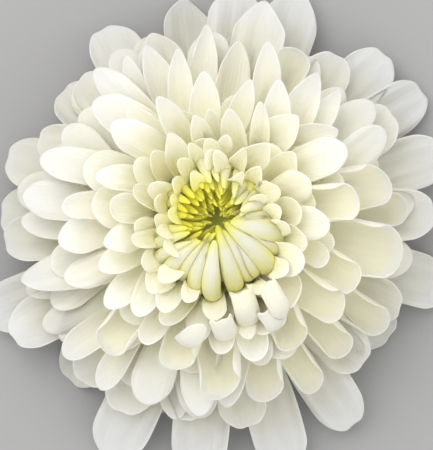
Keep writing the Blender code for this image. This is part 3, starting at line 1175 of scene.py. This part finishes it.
@dataclass
class HeartFlorets:
    """The young florets, arched over to the eye from all round the heart.

    The outermost ones are (azimuth, distance from the eye where it arches over, width). Each layer
    inside them is (count, start, end, height of the tips, width), and its start and end are shares
    of the way from the eye to the rim. A side is the (middle, spread) of a sector of the head.
    """

    axis: Vector
    outermost: tuple[Row, ...] = (
        (-3, 0.0140, 0.0042), (-17, 0.0168, 0.0050), (-32, 0.0162, 0.0042),
        (-47, 0.0180, 0.0049), (-61, 0.0162, 0.0041), (-74, 0.0168, 0.0042),
        (-87, 0.0188, 0.0042), (-100, 0.0170, 0.0038), (-111, 0.0166, 0.0031),
        (-122, 0.0184, 0.0034), (-135, 0.0174, 0.0030), (-149, 0.0150, 0.0028),
        (-163, 0.0132, 0.0026), (-178, 0.0120, 0.0026), (167, 0.0116, 0.0025),
        (152, 0.0112, 0.0024), (137, 0.0110, 0.0024), (121, 0.0120, 0.0024),
        (105, 0.0134, 0.0026), (90, 0.0138, 0.0024), (74, 0.0118, 0.0025), (58, 0.0104, 0.0024),
        (42, 0.0102, 0.0025), (27, 0.0110, 0.0028), (12, 0.0124, 0.0032),
    )
    layers: tuple[tuple[int, float, float, float, float], ...] = (
        (25, 0.80, 0.40, 0.0458, 0.0024),
        (23, 0.60, 0.24, 0.0454, 0.0020),
        (19, 0.42, 0.12, 0.0449, 0.0017),
        (10, 0.26, 0.05, 0.0444, 0.0014),
    )
    hidden: float = 0.45
    beneath: tuple[int, ...] = (-10, -25, -40, -54, -68, -81, -94, -106, -117)
    beneath_knuckle: float = 0.0158
    beneath_width: float = 0.0042
    beneath_drop: float = 0.0019
    tuck: float = 0.0042
    broad: float = 0.0058
    root_height: Span = (0.0300, 0.0340)
    long_tip: Span = (0.0007, 0.0052)
    short_tip: float = 0.58
    tip_height: float = 0.0462
    bow: float = 0.0026
    bow_side: float = 60
    bow_full: float = 0.018
    low_full: float = 0.009
    narrow_drop: float = 0.3
    long_side: Span = (-58, 80)
    bare_side: Span = (-55, 62)
    bare_from: float = 0.55
    thickness: float = 0.00030

    def rim(self, azimuth: float) -> float:
        """How far the heart's rim is from the eye.

        Args:
            azimuth: The direction, seen from the eye.

        Returns:
            The distance.
        """
        around = math.radians(azimuth)
        ahead = Vector((math.cos(around), math.sin(around), 0.0))
        near, far = 0.0, 0.04
        while far - near > 0.0001:
            reach = (near + far) / 2
            near, far = (reach, far) if beyond_heart(EYE + ahead * reach) < 0 else (near, reach)
        return near

    def finger(
        self, draw: random.Random, azimuth: float, knuckle: float, tip: Span, width: float
    ) -> Blade:
        """One floret, from its root under the rim to its tip near the eye.

        Args:
            draw: Where its chances come from.
            azimuth: The side of the eye that it stands on.
            knuckle: How far from the eye it arches over.
            tip: How far from the eye its tip is, and how high.
            width: Its width at the knuckle.

        Returns:
            The floret.
        """
        low = clamp(tip[0] / self.low_full)
        habit = Kind.FINGER.value.varied(draw, 0.8)
        foot = mix(self.root_height, low) + draw.uniform(-0.0012, 0.0012)
        top = tip[1] - self.narrow_drop * max(self.broad - width, 0.0) * (1 - low)
        bow = self.bow * math.sin(math.radians(azimuth + self.bow_side))
        return Blade(
            habit=habit,
            azimuth=azimuth,
            root=(max(knuckle - self.tuck, 0.002), foot),
            tip=(tip[0], top + draw.uniform(-0.0008, 0.0008)),
            half_width=habit.half_width(width * draw.uniform(0.9, 1.08)),
            pivot=EYE,
            roll=draw.uniform(-16, 16),
            sweep=draw.uniform(-0.0010, 0.0010),
            bow=bow * clamp(knuckle / self.bow_full) + draw.uniform(-0.0008, 0.0008),
            luck=draw.random(),
        )

    def blades(self) -> list[Blade]:
        """The florets, from the outermost in.

        Returns:
            The florets.
        """
        draw = random.Random(SEED + 1)
        blades = []
        for azimuth, knuckle, width in self.outermost:
            reaching = clamp(1.25 * sector(azimuth, *self.long_side))
            tip = mix((self.short_tip * knuckle, mix(self.long_tip, draw.random())), reaching)
            blades.append(self.finger(draw, azimuth, knuckle, (tip, self.tip_height), width))
        for azimuth in self.beneath:
            knuckle = self.beneath_knuckle * draw.uniform(0.92, 1.04)
            tip = (self.long_tip[1] + 0.0015, self.tip_height - self.beneath_drop)
            blades.append(self.finger(draw, azimuth, knuckle, tip, self.beneath_width))
        for count, start, end, height, width in self.layers:
            for k in range(count):
                azimuth = 360 * (k + draw.uniform(0.1, 0.9)) / count
                if sector(azimuth, *self.bare_side) > self.bare_from and start > self.hidden:
                    continue
                rim = self.rim(azimuth)
                tip = (rim * end + draw.uniform(0, 0.0008), height)
                knuckle = rim * start * draw.uniform(0.86, 1.10)
                blades.append(self.finger(draw, azimuth, knuckle, tip, width))
        return blades

    def build(self, finish: Material) -> None:
        """Makes the heart's florets as one piece.

        Args:
            finish: Their material.
        """
        sheet = ("young_florets", "heart_florets", "heart_floret", self.thickness, 6, 12, self.axis)
        BladeSheet(*sheet).build(self.blades(), finish)


@dataclass
class TurnedBody:
    """A body of the flower turned about its axis, which blades grow from.

    Attributes:
        name: The piece's name.
        stands_for: The CAD node that it replaces.
        slot: The record's material slot, which is not used.
        profile: (radius, height) down its outer side, from the axis to the axis.
        axis: The flower's axis on the surface.
        steps: Faces round it.
        eye: Within which radius it has the colour of the eye.
        eye_fade: Over which distance that colour fades.
    """

    name: str
    stands_for: str
    slot: str
    profile: tuple[Span, ...]
    axis: Vector
    steps: int = 48
    eye: float = 0.0058
    eye_fade: float = 0.0045

    def build(self, finish: Material) -> bpy.types.Object:
        """Makes the piece.

        Args:
            finish: Its material.

        Returns:
            The finished piece, riding on the root body.
        """
        bm = bmesh.new()
        keys = ("edge", "cream_and_shade", "olive", "tone")
        layers = {key: bm.verts.layers.float.new(key) for key in keys}
        verts = [bm.verts.new((radius, 0, height)) for radius, height in self.profile]
        edges = [bm.edges.new(pair) for pair in zip(verts, verts[1:])]
        turned = {"cent": (0, 0, 0), "axis": (0, 0, 1), "angle": math.tau, "steps": self.steps}
        bmesh.ops.spin(bm, geom=verts + edges, use_merge=True, **turned)
        bmesh.ops.remove_doubles(bm, verts=bm.verts, dist=1e-6)
        bmesh.ops.recalc_face_normals(bm, faces=bm.faces)
        for vert in bm.verts:
            olive = smooth((self.eye - math.hypot(vert.co.x, vert.co.y)) / self.eye_fade)
            for key, value in zip(keys, (0.0, 1.0, olive, 1.0)):
                vert[layers[key]] = value
        bmesh.ops.translate(bm, verts=bm.verts, vec=self.axis)
        return settle(finished(bm, self.name, finish), self.stands_for)


@dataclass
class Calyx:
    """The green base of the head, with its rows of bracts.

    The bowl is (radius, height), and each row is (count, root, tip, half a bract's width).
    """

    axis: Vector
    bowl: tuple[Span, ...] = (
        (0.0000, 0.0100), (0.0131, 0.0100), (0.0138, 0.0092), (0.0124, 0.0069), (0.0088, 0.0051),
        (0.0050, 0.0045), (0.0000, 0.0045),
    )
    rows: tuple[tuple[int, Span, Span, float], ...] = (
        (11, (0.0048, 0.0051), (0.0122, 0.0058), 0.0021),
        (13, (0.0078, 0.0056), (0.0150, 0.0078), 0.0021),
        (17, (0.0108, 0.0070), (0.0172, 0.0104), 0.0019),
    )
    thickness: float = 0.00045

    def bracts(self) -> list[Blade]:
        """The bracts, row by row.

        Returns:
            The bracts.
        """
        draw = random.Random(SEED + 4)
        blades = []
        for row, (count, root, tip, half_width) in enumerate(self.rows):
            for k in range(count):
                blades.append(
                    Blade(
                        habit=Kind.BRACT.value,
                        azimuth=360 * (k + 0.5 * (row % 2)) / count + draw.uniform(-3, 3),
                        root=root,
                        tip=tip,
                        half_width=half_width * draw.uniform(0.9, 1.1),
                        luck=draw.random(),
                    )
                )
        return blades

    def build(self, finish: Material) -> None:
        """Makes the base and the bracts.

        Args:
            finish: Their material.
        """
        TurnedBody("calyx_base", "calyx_bracts", "green_bract", self.bowl, self.axis).build(finish)
        sheet = ("bracts", "calyx_bracts", "green_bract", self.thickness, 6, 8, self.axis)
        BladeSheet(*sheet).build(self.bracts(), finish)


@dataclass
class StemStub:
    """The stub of the stem: ribbed outside, with a ring of wood and pale pith on its cut end."""

    axis: Vector
    cut: float = 0.0003
    top: float = 0.0042
    radius: float = 0.0031
    flare: float = 0.0042
    ribs: int = 6
    rib_rise: float = 0.00018
    sides: int = 48
    rings: int = 6
    insets: tuple[Span, ...] = ((0.0003, 0.55), (0.0003, 0.8), (0.0012, 1.0))

    def build(self, finish: Material) -> bpy.types.Object:
        """Makes the piece.

        Args:
            finish: Its material.

        Returns:
            The finished piece, riding on the root body.
        """
        bm = bmesh.new()
        edge = bm.verts.layers.float.new("edge")
        height = self.top - self.cut
        middle = Matrix.Translation((0, 0, (self.top + self.cut) / 2))
        size = {"segments": self.sides, "radius1": 1, "radius2": 1, "depth": height}
        bmesh.ops.create_cone(bm, cap_ends=True, matrix=middle, **size)
        for ring in range(1, self.rings):
            everything = bm.verts[:] + bm.edges[:] + bm.faces[:]
            level = self.cut + height * ring / self.rings
            bmesh.ops.bisect_plane(bm, geom=everything, plane_co=(0, 0, level), plane_no=(0, 0, 1))
        for vert in bm.verts:
            turn = math.atan2(vert.co.y, vert.co.x)
            share = smooth((vert.co.z - self.cut) / height)
            radius = mix((self.radius, self.flare), share)
            radius += self.rib_rise * math.cos(self.ribs * turn)
            vert.co.x = radius * math.cos(turn)
            vert.co.y = radius * math.sin(turn)
            vert[edge] = 0.0
        cap = min(bm.faces, key=lambda face: face.calc_center_median().z)
        for inset, pale in self.insets:
            bmesh.ops.inset_individual(bm, faces=[cap], thickness=inset)
            for vert in cap.verts:
                vert[edge] = pale
        bmesh.ops.translate(bm, verts=bm.verts, vec=self.axis)
        piece = finished(bm, "cut_stem", finish)
        piece.data.set_sharp_from_angle(angle=math.radians(50))
        return settle(piece, "stem_stub")


@dataclass
class Studio:
    """The pale floor, the soft lights and the camera over the flower."""

    axis: Vector
    distance: float = 0.56
    picture_width: float = 0.1048
    aim_height: float = 0.012
    elevation: float = 88
    sky: float = 1.02
    sky_colour: Colour = (1.0, 0.995, 0.98)
    floor_colour: Colour = (0.32, 0.32, 0.325)
    lights: tuple[tuple[str, Row, float, float, Colour], ...] = (
        ("key", (-0.26, 0.30, 0.78), 0.7, 4.4, (1.0, 0.99, 0.97)),
        ("fill", (0.6, -0.3, 0.5), 0.8, 1.0, (0.98, 0.99, 1.0)),
    )

    def area(self, name: str, place: Row, size: float, power: float, colour: Colour) -> None:
        """Adds a soft light that faces the flower.

        Args:
            name: Its name.
            place: Where it stands.
            size: How wide it is.
            power: Its power in watts.
            colour: Its colour.
        """
        light = bpy.data.lights.new(name, "AREA")
        light.size = size
        light.energy = power
        light.color = colour
        lamp = bpy.data.objects.new(name, light)
        lamp.location = place
        ahead = Vector((0, 0, 0.02)) - Vector(place)
        lamp.rotation_euler = ahead.to_track_quat("-Z", "Y").to_euler()
        bpy.context.scene.collection.objects.link(lamp)

    def floor(self) -> None:
        """Adds the floor."""
        bm = bmesh.new()
        bmesh.ops.create_grid(bm, x_segments=1, y_segments=1, size=3.0)
        skin = Skin("floor_paint")
        skin.feed(skin.shader, {"Base Color": (*self.floor_colour, 1.0), "Roughness": 0.8})
        finished(bm, "floor", skin.made)

    def camera(self) -> None:
        """Adds the camera, which looks down the flower's axis as the photograph does."""
        lens = bpy.data.cameras.new("camera")
        lens.sensor_width = 36.0
        lens.lens = lens.sensor_width * self.distance / self.picture_width
        eye = bpy.data.objects.new("camera", lens)
        rise = math.radians(self.elevation)
        back = Vector((0, -math.cos(rise), math.sin(rise)))
        aim = self.axis + Vector((0, 0, self.aim_height))
        eye.location = aim + back * self.distance
        eye.rotation_euler = (-back).to_track_quat("-Z", "Y").to_euler()
        bpy.context.scene.collection.objects.link(eye)
        bpy.context.scene.camera = eye

    def build(self) -> None:
        """Sets the stage."""
        self.floor()
        for light in self.lights:
            self.area(*light)
        world = bpy.data.worlds.new("sky")
        bpy.context.scene.world = world
        world.use_nodes = True
        background = world.node_tree.nodes["Background"]
        background.inputs["Color"].default_value = (*self.sky_colour, 1.0)
        background.inputs["Strength"].default_value = self.sky
        bpy.context.scene.view_settings.view_transform = "Standard"
        self.camera()


def main() -> None:
    """Builds the flower and its stage."""
    logging.basicConfig(level=logging.INFO, format="%(name)s: %(message)s")
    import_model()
    low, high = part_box("stem_stub")
    axis = (low + high) / 2
    axis.z = 0.0

    petal = PetalFinish(
        "white_petal", (0.92, 0.92, 0.895), (0.92, 0.885, 0.63), (0.84, 0.78, 0.16)
    ).material()
    young = PetalFinish(
        "young_petal", (0.93, 0.925, 0.80), (0.89, 0.84, 0.29), (0.88, 0.82, 0.07)
    ).material()
    green = GreenFinish("bract_skin", (0.10, 0.19, 0.05), (0.42, 0.45, 0.25)).material()
    stem = GreenFinish("stem_skin", (0.16, 0.25, 0.08), (0.62, 0.66, 0.42)).material()

    RayFlorets(axis).build(petal)
    HeartFlorets(axis).build(young)
    TurnedBody("receptacle", "ray_florets", "white_floret", RECEPTACLE, axis).build(petal)
    TurnedBody("heart_core", "heart_florets", "heart_floret", HEART_CORE, axis).build(young)
    Calyx(axis).build(green)
    StemStub(axis).build(stem)
    Studio(axis).build()


if __name__ == "__main__":
    main()
